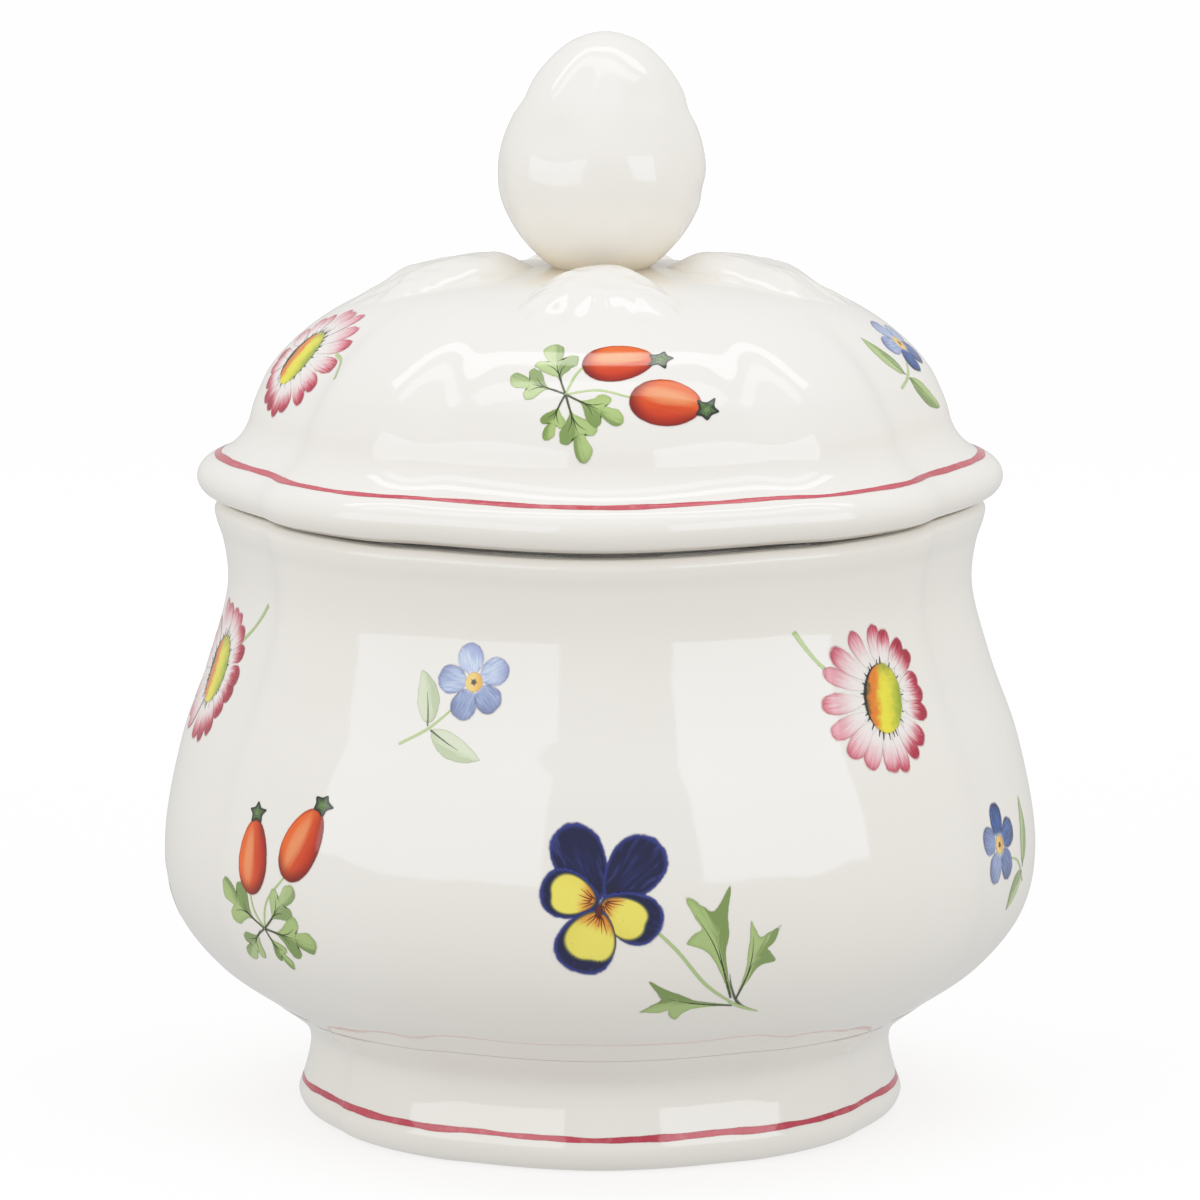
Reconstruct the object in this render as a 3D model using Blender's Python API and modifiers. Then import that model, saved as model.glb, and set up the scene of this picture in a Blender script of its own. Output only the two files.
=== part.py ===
"""Lidded porcelain sugar bowl: lobed bowl on a flared foot, domed lid with bud knob and leaves.

The bowl and the foot stand still. The lid, the knob and the four leaves lift off together.
Units are metres, +Z is up, and the origin is the middle of the foot's resting face.
Azimuth 0 is the front of the object (-Y), and azimuth 90 is its right side (+X).
"""
import math

import bmesh
import bpy
from mathutils import Vector

MM = 0.001

# ---------------------------------------------------------------- driving dimensions (mm)
BELLY_RADIUS = 50.0          # widest part of the bowl
BELLY_HEIGHT = 31.0
NECK_RADIUS = 42.5           # waist under the rim
NECK_HEIGHT = 61.5
MOUTH_HEIGHT = 70.9          # top of the bowl's rim, where the lid rests
LID_RADIUS = 46.0            # rolled edge of the lid
KNOB_TOP = 124.4
WALL = 3.6                   # fired wall of the bowl
JOINT_GAP = 0.3              # clearance kept between neighbouring pieces

# ---------------------------------------------------------------- lobed cross-section
SEGMENTS = 72                # 5 degrees each
PANELS = 4                   # wide panels at the front, right, back and left
VALLEY = 26.0                # degrees from a panel's middle to its lowest line
STEP_START = 27.0            # the narrow corner panel rises between these two azimuths
STEP_END = 33.0
CORNER_RISE = 0.6            # how far the corner panel climbs back out of the valley
LID_STEP_SHIFT = 2.0         # the lid's corner panels are a little narrower

# Depth of the valleys as a share of the radius, at heights in mm.
BOWL_DEPTHS = ((0.0, 0.022), (9.0, 0.030), (31.0, 0.020), (61.5, 0.035), (70.0, 0.035))
LID_DEPTHS = ((65.0, 0.035), (74.0, 0.045), (88.0, 0.050), (95.0, 0.025), (97.5, 0.0))

# ---------------------------------------------------------------- outlines, (radius, height) in mm
BOWL_OUTSIDE = (
    (43.2, MOUTH_HEIGHT),
    (44.0, 70.1),
    (43.0, 66.8),
    (NECK_RADIUS, NECK_HEIGHT),
    (44.6, 53.0),
    (47.9, 43.5),
    (BELLY_RADIUS, BELLY_HEIGHT),
    (48.6, 24.0),
    (44.1, 18.0),
    (38.0, 14.0),
)
BOWL_UNDERSIDE = ((29.6, 9.6), (24.0, 8.0), (0.0, 7.5))
BOWL_INSIDE = (
    (0.0, 11.5),
    (20.0, 11.7),
    (31.0, 14.0),
    (39.8, 19.6),
    (44.6, 25.4),
    (BELLY_RADIUS - WALL, BELLY_HEIGHT),
    (44.4, 42.5),
    (41.1, 52.5),
    (NECK_RADIUS - WALL + 0.3, NECK_HEIGHT),
    (39.4, 66.0),
    (39.9, 70.3),
    (40.5, MOUTH_HEIGHT),
)
FOOT_OUTSIDE = (
    (37.7, 13.5),
    (33.9, 10.4),
    (33.3, 8.6),
    (34.1, 4.5),
    (34.7, 2.6),
    (33.9, 0.8),
    (32.4, 0.0),
)
FOOT_INSIDE = ((29.8, 0.0), (29.2, 0.7), (29.0, 4.5), (29.2, 8.6), (29.6, 9.2))

SEAT_HEIGHT = MOUTH_HEIGHT + JOINT_GAP
LID_DOME = (
    (0.0, 97.6),
    (15.0, 97.0),
    (22.8, 95.5),
    (28.3, 93.9),
    (33.2, 91.0),
    (36.8, 88.0),
    (38.6, 85.0),
    (39.7, 82.6),
)
LID_FLARE = ((40.6, 81.4), (41.5, 79.8), (42.9, 77.9))
LID_EDGE = (
    (44.6, 76.5),
    (45.6, 75.6),
    (LID_RADIUS, 74.5),
    (45.5, 73.0),
    (44.4, 71.8),
    (43.0, SEAT_HEIGHT),
)
LID_FLANGE = ((38.3, SEAT_HEIGHT), (38.1, 67.0), (37.6, 66.2), (36.6, 66.2), (35.9, 67.8))
LID_INSIDE = ((35.8, 75.0), (34.8, 81.0), (31.0, 86.4), (24.0, 90.4), (14.0, 93.2), (0.0, 93.8))

KNOB_BASE = LID_DOME[0][1] + JOINT_GAP
KNOB_OUTLINE = (
    (0.0, KNOB_TOP),
    (2.2, 123.9),
    (4.4, 122.9),
    (6.6, 121.0),
    (8.9, 118.0),
    (10.8, 114.2),
    (12.0, 110.9),
    (12.3, 108.4),
    (11.9, 105.6),
    (10.7, 103.0),
    (9.2, 100.8),
    (7.3, 99.0),
    (6.2, KNOB_BASE),
    (0.0, KNOB_BASE),
)
KNOB_SEGMENTS = 40
KNOB_FACETS = 5              # soft flats of the bud
KNOB_FACET_DEPTH = 0.022
KNOB_TWIST = 1.6             # radians that the flats turn from root to tip
KNOB_OFFSET = 0.15           # the knob stands a little right of the axis, mm
KNOB_LEAN = 0.45             # and its tip leans further right, mm

# ---------------------------------------------------------------- leaves
LEAF_START = 8.4             # distance of the leaf's tip from the axis
LEAF_END = 28.5
LEAF_HALF_WIDTH = 9.6
LEAF_TAPER = 0.45            # how much slimmer the leaf is at its tip than at its outer end
LEAF_THINNING = 0.5          # how much thinner it is at its outer end
LEAVES = (                   # name, azimuth, thickness; the left one was pressed flatter
    ("leaf_front", 0.0, 1.6),
    ("leaf_right", 90.0, 1.6),
    ("leaf_back", 180.0, 1.6),
    ("leaf_left", 270.0, 1.2),
)


def smoothstep(value):
    value = min(max(value, 0.0), 1.0)
    return value * value * (3.0 - 2.0 * value)


def table_value(table, position):
    """Straight-line reading of a ((position, value), ...) table."""
    for (low, low_value), (high, high_value) in zip(table, table[1:]):
        if position <= high:
            share = min(max((position - low) / (high - low), 0.0), 1.0)
            return low_value + share * (high_value - low_value)
    return table[-1][1]


def lobe(azimuth, step_shift):
    """0 in the middle of a wide panel, -1 in the valley, and in between on a corner panel."""
    panel = 360.0 / PANELS
    away = abs((azimuth + panel / 2.0) % panel - panel / 2.0)
    step = (away - STEP_START - step_shift) / (STEP_END - STEP_START)
    return CORNER_RISE * smoothstep(step) - smoothstep(away / VALLEY)


def azimuth_of(x, y):
    return math.degrees(math.atan2(x, -y)) % 360.0


def curve_through(points, per_span=2):
    """Centripetal Catmull-Rom curve through the points, ends included."""
    knots = [Vector(point) for point in points]
    knots = [2 * knots[0] - knots[1], *knots, 2 * knots[-1] - knots[-2]]
    curve = [knots[1]]
    for p0, p1, p2, p3 in zip(knots, knots[1:], knots[2:], knots[3:]):
        t1 = (p1 - p0).length ** 0.5
        t2 = t1 + (p2 - p1).length ** 0.5
        t3 = t2 + (p3 - p2).length ** 0.5
        for index in range(1, per_span + 1):
            t = t1 + (t2 - t1) * index / per_span
            a1 = p0.lerp(p1, t / t1)
            a2 = p1.lerp(p2, (t - t1) / (t2 - t1))
            a3 = p2.lerp(p3, (t - t2) / (t3 - t2))
            b1 = a1.lerp(a2, t / t2)
            b2 = a2.lerp(a3, (t - t1) / (t3 - t1))
            curve.append(b1.lerp(b2, (t - t1) / (t2 - t1)))
    return [tuple(point) for point in curve]


def dome_height(radius, azimuth):
    """Height in mm of the lid's lobed dome, at a radius and azimuth."""
    outline = sorted(curve_through(LID_DOME))
    own_radius = radius
    for _ in range(4):
        height = table_value(outline, own_radius)
        depth = table_value(LID_DEPTHS, height)
        own_radius = radius / (1.0 + depth * lobe(azimuth, LID_STEP_SHIFT))
    return table_value(outline, own_radius)


def collection_named(name):
    collection = bpy.data.collections.new(name)
    bpy.context.scene.collection.children.link(collection)
    return collection


def material_named(name, colour, roughness):
    material = bpy.data.materials.new(name)
    material.use_nodes = True
    shader = material.node_tree.nodes["Principled BSDF"]
    shader.inputs["Base Color"].default_value = (*colour, 1.0)
    shader.inputs["Roughness"].default_value = roughness
    shader.inputs["Metallic"].default_value = 0.0
    shader.inputs["Coat Weight"].default_value = 1.0
    return material


def add_object(name, mesh, collection, colour, roughness=0.08):
    for polygon in mesh.polygons:
        polygon.use_smooth = True
    mesh.set_sharp_from_angle(angle=math.radians(50.0))
    part = bpy.data.objects.new(name, mesh)
    collection.objects.link(part)
    part.data.materials.append(material_named(name + "_glaze", colour, roughness))
    return part


def turned_mesh(name, outline, segments, closed_ring=False):
    """Mesh of a (radius, height) outline turned about Z with a Screw modifier."""
    profile = bpy.data.meshes.new(name + "_outline")
    points = [(radius * MM, 0.0, height * MM) for radius, height in outline]
    edges = [(index, index + 1) for index in range(len(points) - 1)]
    if closed_ring:
        edges.append((len(points) - 1, 0))
    profile.from_pydata(points, edges, [])
    guide = bpy.data.objects.new(name + "_outline", profile)
    bpy.context.scene.collection.objects.link(guide)
    screw = guide.modifiers.new("turn", "SCREW")
    screw.axis = "Z"
    screw.angle = 2.0 * math.pi
    screw.steps = segments
    screw.render_steps = segments
    screw.use_merge_vertices = True
    screw.merge_threshold = 0.00001
    evaluated = guide.evaluated_get(bpy.context.evaluated_depsgraph_get())
    mesh = bpy.data.meshes.new_from_object(evaluated)
    mesh.name = name
    bpy.data.objects.remove(guide)
    bpy.data.meshes.remove(profile)
    return mesh


def press_lobes(mesh, depths, step_shift=0.0):
    """Pull the turned surface in along the valleys, more at some heights than at others."""
    for vertex in mesh.vertices:
        x, y, z = vertex.co
        depth = table_value(depths, z / MM)
        factor = 1.0 + depth * lobe(azimuth_of(x, y), step_shift)
        vertex.co.x = x * factor
        vertex.co.y = y * factor


def make_bowl(collection):
    outline = [*BOWL_INSIDE, *curve_through(BOWL_OUTSIDE), *BOWL_UNDERSIDE]
    mesh = turned_mesh("bowl", outline, SEGMENTS)
    press_lobes(mesh, BOWL_DEPTHS)
    return add_object("bowl", mesh, collection, (0.84, 0.82, 0.78))


def make_foot_ring(collection):
    mesh = turned_mesh("foot_ring", [*FOOT_OUTSIDE, *FOOT_INSIDE], SEGMENTS, closed_ring=True)
    press_lobes(mesh, BOWL_DEPTHS)
    return add_object("foot_ring", mesh, collection, (0.82, 0.80, 0.76))


def make_lid(collection):
    outline = [*LID_DOME, *LID_FLARE, *LID_EDGE, *LID_FLANGE, *LID_INSIDE]
    mesh = turned_mesh("lid", outline, SEGMENTS)
    press_lobes(mesh, LID_DEPTHS, LID_STEP_SHIFT)
    return add_object("lid", mesh, collection, (0.84, 0.83, 0.79))


def make_knob(collection):
    mesh = turned_mesh("knob", KNOB_OUTLINE, KNOB_SEGMENTS)
    for vertex in mesh.vertices:
        x, y, z = vertex.co
        rise = (z / MM - KNOB_BASE) / (KNOB_TOP - KNOB_BASE)
        flat = math.sin(KNOB_FACETS * math.atan2(y, x) + KNOB_TWIST * rise)
        factor = 1.0 - KNOB_FACET_DEPTH * math.sin(math.pi * rise) * (1.0 + flat) / 2.0
        vertex.co.x = x * factor + (KNOB_OFFSET + KNOB_LEAN * smoothstep(2.0 * rise - 1.0)) * MM
        vertex.co.y = y * factor
    return add_object("knob", mesh, collection, (0.83, 0.81, 0.77))


def make_leaf(name, azimuth, thickness, collection):
    """A ball pressed flat onto the dome: its top is the leaf and its underside is the dome."""
    middle = (LEAF_START + LEAF_END) / 2.0
    half_length = (LEAF_END - LEAF_START) / 2.0
    ball = bmesh.new()
    bmesh.ops.create_uvsphere(ball, u_segments=20, v_segments=10, radius=1.0)
    for vertex in ball.verts:
        along, across, up = vertex.co
        width = LEAF_HALF_WIDTH * (1.0 - LEAF_TAPER * (1.0 - along) / 2.0)
        radius = middle + half_length * along
        side = width * across
        distance = math.hypot(radius, side)
        own_azimuth = azimuth + math.degrees(math.atan2(side, radius))
        height = dome_height(distance, own_azimuth) + JOINT_GAP
        thinning = 1.0 - LEAF_THINNING * smoothstep((along + 0.2) / 1.2)
        height += thickness * thinning * max(up, 0.0)
        turn = math.radians(own_azimuth)
        vertex.co = Vector((distance * math.sin(turn), -distance * math.cos(turn), height)) * MM
    bmesh.ops.recalc_face_normals(ball, faces=ball.faces)
    mesh = bpy.data.meshes.new(name)
    ball.to_mesh(mesh)
    ball.free()
    return add_object(name, mesh, collection, (0.84, 0.82, 0.77))


def build():
    for leftover in list(bpy.data.objects):
        bpy.data.objects.remove(leftover)
    collection = collection_named("sugar_bowl")
    make_bowl(collection)
    make_foot_ring(collection)
    lid_axis = bpy.data.objects.new("lid_lift_axis", None)
    collection.objects.link(lid_axis)
    lid_axis.location = (0.0, 0.0, SEAT_HEIGHT * MM)
    bpy.context.view_layer.update()
    lifting = [make_lid(collection), make_knob(collection)]
    lifting += [make_leaf(*leaf, collection) for leaf in LEAVES]
    for piece in lifting:
        piece.parent = lid_axis
        piece.matrix_parent_inverse = lid_axis.matrix_world.inverted()


build()
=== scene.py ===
"""Looks of the lidded porcelain sugar bowl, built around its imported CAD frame.

Lengths are in millimetres until a mesh is made, and azimuth 0 is the front (-Y), 90 the right (+X).
The bowl and foot ride on the standing body. The lid, knob, leaves and their painting ride on the lid.
"""

import math
import random

import bpy
import numpy as np
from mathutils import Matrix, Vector


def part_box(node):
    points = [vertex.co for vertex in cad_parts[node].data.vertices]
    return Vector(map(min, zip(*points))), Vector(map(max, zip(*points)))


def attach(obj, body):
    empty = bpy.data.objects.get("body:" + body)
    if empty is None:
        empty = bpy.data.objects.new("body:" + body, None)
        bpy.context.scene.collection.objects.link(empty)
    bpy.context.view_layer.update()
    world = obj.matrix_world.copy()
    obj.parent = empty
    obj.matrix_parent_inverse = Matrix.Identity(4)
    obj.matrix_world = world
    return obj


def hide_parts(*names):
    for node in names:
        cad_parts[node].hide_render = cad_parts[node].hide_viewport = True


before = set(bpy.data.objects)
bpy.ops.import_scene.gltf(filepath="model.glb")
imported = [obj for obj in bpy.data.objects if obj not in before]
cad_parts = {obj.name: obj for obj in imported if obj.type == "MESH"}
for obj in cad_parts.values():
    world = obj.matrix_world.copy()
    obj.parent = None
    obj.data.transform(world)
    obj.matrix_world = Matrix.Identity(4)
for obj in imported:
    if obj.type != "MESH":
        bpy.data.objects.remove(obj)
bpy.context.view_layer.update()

# ------------------------------ driving dimensions
low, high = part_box("bowl")
BELLY_RADIUS = 50.0
MM = (high.x - low.x) / (2.0 * BELLY_RADIUS)
MOUTH_HEIGHT = high.z / MM
KNOB_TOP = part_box("knob")[1].z / MM
SEAT_HEIGHT = MOUTH_HEIGHT + 0.3

PANEL = 90.0                 # one wide panel and one corner panel, degrees
VALLEY = 26.0                # azimuth of the valley beside a wide panel, where the form is pressed in most
STEP_START = 27.0            # the fold that climbs from the valley to the corner panel
STEP_END = 33.0
LID_STEP_SHIFT = 2.0         # how much further round the lid's own fold is
CORNER_RISE = 0.6            # how much of the valley's depth the fold climbs back
BOWL_DEPTHS = ((0.0, 0.022), (9.0, 0.030), (31.0, 0.020), (61.5, 0.035))
LID_DEPTHS = ((65.0, 0.035), (74.0, 0.045), (86.0, 0.050), (97.0, 0.0))
LID_CREASES = ((66.0, 0.0), (80.0, 0.004), (89.8, 0.017), (95.2, 0.0))
CREASE = 29.5                # azimuth of the crease beside each of the lid's wide panels
CREASE_WIDTH = 5.8
WAVER = 0.03                 # how far the hand-finished surface strays from the true form
RIM_CONTACT = 62.0           # degrees either side of the front and back that the rim leaves open
RIM_START = 67.0             # height where the bowl's wall begins to follow its uneven rim
RIM_RISE = 0.22
RIM_DIP = 0.62

BOWL_OUTSIDE = (
    (42.4, MOUTH_HEIGHT), (43.3, 70.75), (43.95, 70.0), (43.8, 68.9), (43.0, 66.5), (42.5, 61.5),
    (44.6, 53.0), (47.9, 43.5), (49.94, 31.0), (48.6, 24.0), (44.1, 18.0), (38.0, 13.66),
)
BOWL_UNDERSIDE = ((29.0, 9.6), (24.0, 8.0), (0.0, 7.5))
BOWL_INSIDE = (
    (0.0, 11.5), (20.0, 11.7), (31.0, 14.0), (39.8, 19.6), (44.6, 25.4), (46.4, 31.0), (44.4, 42.5),
    (41.1, 52.5), (39.2, 61.5), (39.4, 66.0), (39.9, 70.3), (40.5, MOUTH_HEIGHT),
)
FOOT_OUTSIDE = (
    (37.93, 13.6), (33.9, 10.4), (33.3, 8.6), (34.1, 4.5), (34.7, 2.6), (33.9, 0.8), (32.4, 0.0),
)
FOOT_INSIDE = ((29.8, 0.0), (29.2, 0.7), (29.0, 4.5), (29.2, 8.6), (29.3, 11.0))
LID_DOME = (
    (0.0, 97.6), (5.0, 97.53), (10.0, 97.3), (15.0, 96.85), (20.0, 96.1), (25.0, 94.85), (29.0, 93.2),
    (32.0, 91.45), (34.4, 89.6), (36.3, 87.75), (37.8, 85.8), (38.75, 83.9), (39.3, 82.6), (39.65, 81.6),
    (39.85, 80.8),
)
FLARE_RADIUS = 6.2           # the concave arc that leads from the dome to the lid's rolled edge
FLARE_LEANS = np.radians((12.0, 20.0, 30.0, 38.0, 46.0, 54.0, 62.0))    # from upright, at the dome and on
LID_FLARE = [
    (LID_DOME[-1][0] + FLARE_RADIUS * (np.cos(FLARE_LEANS[0]) - np.cos(lean)),
     LID_DOME[-1][1] + FLARE_RADIUS * (np.sin(FLARE_LEANS[0]) - np.sin(lean)))
    for lean in FLARE_LEANS[1:]
]
LID_EDGE = (
    (43.65, 76.32), (44.35, 76.05), (45.1, 75.55), (45.8, 74.6), (45.95, 73.4), (45.2, 72.1),
    (43.2, SEAT_HEIGHT),
)
LID_FLANGE = ((38.3, SEAT_HEIGHT), (38.1, 67.0), (37.6, 66.2), (36.6, 66.2), (35.9, 67.8))
LID_INSIDE = ((35.8, 75.0), (34.8, 81.0), (31.0, 86.4), (24.0, 90.4), (14.0, 93.2), (0.0, 93.8))
KNOB_PEAK = KNOB_TOP - 0.05
KNOB_ROOT = 97.9             # height where the knob leaves the leaves
KNOB_OUTLINE = (
    (0.0, KNOB_PEAK), (2.2, 123.9), (4.4, 122.9), (6.6, 121.0), (8.9, 118.0), (10.8, 114.2),
    (12.0, 110.9), (12.3, 108.4), (11.9, 105.6), (10.7, 103.0), (9.2, 100.8), (7.5, 99.0),
    (6.1, KNOB_ROOT), (5.2, 97.3),
)
KNOB_DENTS = (               # azimuth, height, depth and size of the potter's thumb marks
    (-92.0, 116.9, 0.42, 1.5), (95.0, 115.4, 0.38, 1.4), (88.0, 106.2, 0.35, 1.3),
    (-30.0, 113.0, 0.30, 2.2), (35.0, 117.5, 0.35, 1.8), (10.0, 105.0, 0.25, 2.4),
    (150.0, 112.0, 0.35, 1.8), (-150.0, 107.0, 0.35, 2.0),
)
LEAF_HALF = (                # distance from the axis and half-width, from the knob outwards
    (7.4, 0.0), (9.3, 3.3), (12.3, 5.6), (16.5, 7.5), (21.0, 9.0), (24.6, 8.4), (27.2, 5.6),
    (28.5, 2.2), (28.8, 0.0),
)
LEAF_MIDDLE = 18.5
LEAF_RELIEF = ((7.0, 0.42), (12.5, 1.0), (15.5, 1.08), (21.0, 0.92), (26.0, 0.22), (28.8, 0.06))
LEAVES = (                   # node, azimuth and plumpness
    ("leaf_front", 0.0, 1.75), ("leaf_right", 90.0, 1.8),
    ("leaf_back", 180.0, 1.75), ("leaf_left", 270.0, 1.75),
)

SEGMENTS = 360               # columns round a turned piece
KNOB_SEGMENTS = 220
BAND_SEGMENTS = 720
SHARP_ANGLE = 50.0           # an edge steeper than this stays crisp under smooth shading
PAINT_LIFT = 0.035           # how far enamel lies over porcelain
STROKE_LIFT = 0.0012         # and each stroke over the one before it
BAND_LIFT = 0.03

CAMERA_PLACE = (0.0, -909.9, 205.1)
CAMERA_PITCH = 0.159         # radians below level
CAMERA_LENS = 242.15
SENSOR_WIDTH = 36.0
WORLD_LIGHT = 0.635
FLOOR_RADIUS = 5.0           # metres, as is its level
FLOOR_LEVEL = -0.00005
FLOOR_LIFT = 0.38            # emission beside the object, and how much it gains towards the back
FLOOR_GLOW = 0.7
PANEL_LIGHTS = (             # name, middle, target, width, height and radiance
    ("left_panel", (-315.0, -277.0, 188.0), (0.0, 0.0, 188.0), 450.0, 224.0, 1.66),
    ("right_panel", (344.0, -265.0, 188.0), (0.0, 0.0, 188.0), 310.0, 224.0, 2.1),
    ("overhead_back", (0.0, 52.0, 520.0), (0.0, 52.0, 0.0), 860.0, 80.0, 3.4),
    ("overhead_front", (0.0, -107.0, 520.0), (0.0, -107.0, 0.0), 860.0, 88.0, 1.8),
)
WHITE_POINT = 1.5
TONES = (                    # brightness and how bright it is shown
    (0.0, 0.0), (0.35, 0.35), (0.7, 0.7), (0.83, 0.8115), (1.0, 0.9086), (1.15, 0.972), (1.35, 1.0),
    (WHITE_POINT, 1.0),
)


# ------------------------------ curves and surfaces
def ease(value):
    value = np.clip(value, 0.0, 1.0)
    return value * value * (3.0 - 2.0 * value)


def table_value(table, position):
    """Reading of a ((position, value), ...) table, level at each of its rows and smooth between them."""
    value = table[0][1] + 0.0 * np.asarray(position, float)
    for (low, low_value), (high, high_value) in zip(table, table[1:]):
        value = value + (high_value - low_value) * ease((position - low) / (high - low))
    return value


def curve_through(points, per_span, closed=False):
    """Centripetal Catmull-Rom curve through 2-D points."""
    points = [np.array(point, float) for point in points]
    if closed:
        knots = [points[-1], *points, points[0], points[1]]
    else:
        knots = [2 * points[0] - points[1], *points, 2 * points[-1] - points[-2]]
    curve = [knots[1]]
    for p0, p1, p2, p3 in zip(knots, knots[1:], knots[2:], knots[3:]):
        t1 = np.linalg.norm(p1 - p0) ** 0.5
        t2 = t1 + np.linalg.norm(p2 - p1) ** 0.5
        t3 = t2 + np.linalg.norm(p3 - p2) ** 0.5
        for index in range(1, per_span + 1):
            t = t1 + (t2 - t1) * index / per_span
            a1 = p0 + (p1 - p0) * t / t1
            a2 = p1 + (p2 - p1) * (t - t1) / (t2 - t1)
            a3 = p2 + (p3 - p2) * (t - t2) / (t3 - t2)
            b1 = a1 + (a2 - a1) * t / t2
            b2 = a2 + (a3 - a2) * (t - t1) / (t3 - t1)
            curve.append(b1 + (b2 - b1) * (t - t1) / (t2 - t1))
    return np.array(curve[:-1] if closed else curve)


class Form:
    """How the lobes press into a turned shape: in by a share of the radius that varies with height."""

    def __init__(self, depths, step_shift, softness, creases=((0.0, 0.0), (1.0, 0.0))):
        self.depths = depths
        self.creases = creases
        self.azimuth = np.arange(0.0, PANEL, 0.5)
        away = np.minimum(self.azimuth, PANEL - self.azimuth)
        step = (away - STEP_START - step_shift) / (STEP_END - STEP_START)
        sharp = CORNER_RISE * ease(step) - ease(away / VALLEY)
        offsets = np.arange(-24, 25)
        weights = np.exp(-0.5 * (offsets * 0.5 / softness) ** 2)
        weights = weights / weights.sum()
        self.lobe = sum(weight * np.roll(sharp, offset) for weight, offset in zip(weights, offsets))
        self.crease = np.exp(-((away - CREASE) / CREASE_WIDTH) ** 2)

    def factor(self, height, azimuth):
        lobe = np.interp(azimuth, self.azimuth, self.lobe, period=PANEL)
        crease = np.interp(azimuth, self.azimuth, self.crease, period=PANEL)
        return 1.0 + table_value(self.depths, height) * lobe - table_value(self.creases, height) * crease


BOWL_FORM = Form(BOWL_DEPTHS, 0.0, 1.6)
LID_FORM = Form(LID_DEPTHS, LID_STEP_SHIFT, 2.6, LID_CREASES)


def waver(azimuth, height):
    """Small unevenness of a cast and hand-sponged wall, never outwards of the true form."""
    turn = np.radians(azimuth)
    waves = (
        0.34 * np.sin(3 * turn + 0.09 * height + 0.4)
        + 0.26 * np.sin(7 * turn - 0.16 * height + 2.1)
        + 0.22 * np.sin(0.31 * height + 2 * turn)
        + 0.18 * np.sin(13 * turn + 0.23 * height + 1.2)
    )
    return WAVER * (waves - 1.0)


def rim_shift(azimuth, height):
    """The fired rim is not quite level: it meets the lid at the sides and dips at the front and back."""
    away = np.abs((azimuth + 90.0) % 180.0 - 90.0)
    dip = np.cos(np.radians(np.clip(away * 90.0 / RIM_CONTACT, 0.0, 90.0)))
    return (RIM_RISE - RIM_DIP * dip) * ease((height - RIM_START) / (MOUTH_HEIGHT - RIM_START))


def spin(radius, height, azimuth, form):
    """Points of the lobed form, in mm, for matching arrays of radius, height and azimuth."""
    reach = radius * form.factor(height, azimuth) + waver(azimuth, height) * ease(radius / 12.0)
    turn = np.radians(azimuth)
    return np.stack([reach * np.sin(turn), -reach * np.cos(turn), height + 0 * turn], axis=-1)


class Surface:
    """The outer face of a piece, addressed by azimuth and by distance along its outline."""

    def __init__(self, outline, form):
        self.outline = outline
        steps = np.hypot(*np.diff(outline, axis=0).T)
        self.arc = np.concatenate([[0.0], np.cumsum(steps)])
        self.form = form

    def radius(self, arc):
        return np.interp(arc, self.arc, self.outline[:, 0])

    def arc_at_height(self, height):
        return float(np.interp(height, self.outline[:, 1], self.arc))

    def at(self, azimuth, arc):
        height = np.interp(arc, self.arc, self.outline[:, 1])
        return spin(self.radius(arc), height, azimuth, self.form)

    def normal(self, azimuth, arc):
        east = self.at(azimuth + 0.4, arc) - self.at(azimuth - 0.4, arc)
        up = self.at(azimuth, arc + 0.3) - self.at(azimuth, arc - 0.3)
        out = np.cross(east, up)
        return out / np.linalg.norm(out, axis=-1, keepdims=True)

    def lifted(self, azimuth, arc, lift):
        return self.at(azimuth, arc) + self.normal(azimuth, arc) * np.asarray(lift)[..., None]


BODY = Surface(curve_through(BOWL_OUTSIDE, 24)[::-1], BOWL_FORM)
FOOT = Surface(curve_through(FOOT_OUTSIDE, 24)[::-1], BOWL_FORM)
LID = Surface(curve_through([*LID_DOME, *LID_FLARE, *LID_EDGE], 24)[::-1], LID_FORM)


# ------------------------------ meshes
def add_object(name, data):
    thing = bpy.data.objects.new(name, data)
    bpy.context.scene.collection.objects.link(thing)
    return thing


def add_mesh(name, points, faces, materials, slots=None, uv=None, tint=None, normals=None):
    mesh = bpy.data.meshes.new(name)
    mesh.from_pydata((np.asarray(points) * MM).tolist(), [], faces)
    for material in materials:
        mesh.materials.append(material)
    if slots is not None:
        mesh.polygons.foreach_set("material_index", np.asarray(slots, np.int32))
    if uv is not None:
        layer = mesh.uv_layers.new(name="stroke")
        corners = np.zeros(len(mesh.loops), np.int32)
        mesh.loops.foreach_get("vertex_index", corners)
        layer.data.foreach_set("uv", np.asarray(uv, np.float32)[corners].ravel())
    if tint is not None:
        layer = mesh.attributes.new("tint", "FLOAT", "POINT")
        layer.data.foreach_set("value", np.asarray(tint, np.float32))
    mesh.polygons.foreach_set("use_smooth", [True] * len(mesh.polygons))
    if normals is not None:
        mesh.normals_split_custom_set_from_vertices(np.asarray(normals).tolist())
    mesh.update()
    return add_object(name, mesh)


def ring_faces(rows, columns, first=0, closed=False):
    """Quads of a grid whose rows close on themselves, and whose last row meets its first if closed."""
    faces = []
    for row in range(rows if closed else rows - 1):
        a = first + row * columns
        b = first + (row + 1) % rows * columns
        for column in range(columns):
            right = (column + 1) % columns
            faces.append((a + column, b + column, b + right, a + right))
    return faces


def fan_faces(hub, first, columns, flip=False):
    """Triangles from a hub point to the ring of points that starts at first."""
    faces = []
    for column in range(columns):
        a, b = first + column, first + (column + 1) % columns
        faces.append((hub, b, a) if flip else (hub, a, b))
    return faces


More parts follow.
